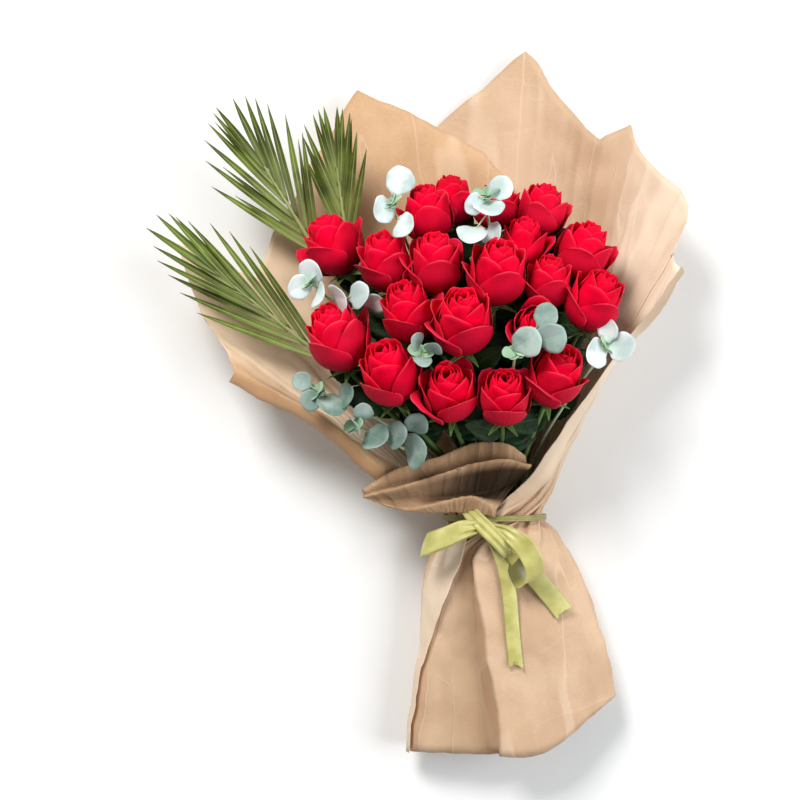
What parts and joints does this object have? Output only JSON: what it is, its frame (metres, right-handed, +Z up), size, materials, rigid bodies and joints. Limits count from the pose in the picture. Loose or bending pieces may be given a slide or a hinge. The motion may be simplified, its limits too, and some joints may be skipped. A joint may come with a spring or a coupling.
{
  "type": "wrapped rose bouquet",
  "caption": "Hand-tied bouquet of red roses, eucalyptus and palm fronds, wrapped in two sheets of kraft paper with a ruffled collar and tied with a satin ribbon.",
  "frame": {"origin": "middle of the bounding box on the surface that the bouquet lies on", "axes": "+Y from the cut stems to the flowers, +Z up out of the front of the bouquet, +X to the right when seen from the front"},
  "size_m": [0.5232, 0.694, 0.2077],
  "materials": {
    "petal_red": "soft matt rose petal",
    "stem_green": "matt green stem and leaf",
    "eucalyptus_leaf": "waxy grey-green leaf",
    "palm_green": "satin green leaflet",
    "kraft_paper": "matt brown kraft paper",
    "satin_ribbon": "satin",
    "twine": "matt twine"
  },
  "bodies": {
    "root": {"eucalyptus_01": "eucalyptus_leaf", "eucalyptus_02": "eucalyptus_leaf", "eucalyptus_03": "eucalyptus_leaf", "eucalyptus_04": "eucalyptus_leaf", "eucalyptus_05": "eucalyptus_leaf", "eucalyptus_06": "eucalyptus_leaf", "eucalyptus_07": "eucalyptus_leaf", "eucalyptus_08": "eucalyptus_leaf", "palm_01": "palm_green", "palm_02": "palm_green", "palm_03": "palm_green", "paper_collar": "kraft_paper", "paper_inner_sheet": "kraft_paper", "paper_outer_sheet": "kraft_paper", "ribbon_bow": "satin_ribbon", "rose_01_bloom": "petal_red", "rose_01_stem": "stem_green", "rose_02_bloom": "petal_red", "rose_02_stem": "stem_green", "rose_03_bloom": "petal_red", "rose_03_stem": "stem_green", "rose_04_bloom": "petal_red", "rose_04_stem": "stem_green", "rose_05_bloom": "petal_red", "rose_05_stem": "stem_green", "rose_06_bloom": "petal_red", "rose_06_stem": "stem_green", "rose_07_bloom": "petal_red", "rose_07_stem": "stem_green", "rose_08_bloom": "petal_red", "rose_08_stem": "stem_green", "rose_09_bloom": "petal_red", "rose_09_stem": "stem_green", "rose_10_bloom": "petal_red", "rose_10_stem": "stem_green", "rose_11_bloom": "petal_red", "rose_11_stem": "stem_green", "rose_12_bloom": "petal_red", "rose_12_stem": "stem_green", "rose_13_bloom": "petal_red", "rose_13_stem": "stem_green", "rose_14_bloom": "petal_red", "rose_14_stem": "stem_green", "rose_15_bloom": "petal_red", "rose_15_stem": "stem_green", "rose_16_bloom": "petal_red", "rose_16_stem": "stem_green", "rose_17_bloom": "petal_red", "rose_17_stem": "stem_green", "rose_18_bloom": "petal_red", "rose_18_stem": "stem_green", "rose_19_bloom": "petal_red", "rose_19_stem": "stem_green", "rose_20_bloom": "petal_red", "rose_20_stem": "stem_green", "string_tie": "twine"}
  },
  "joints": []
}
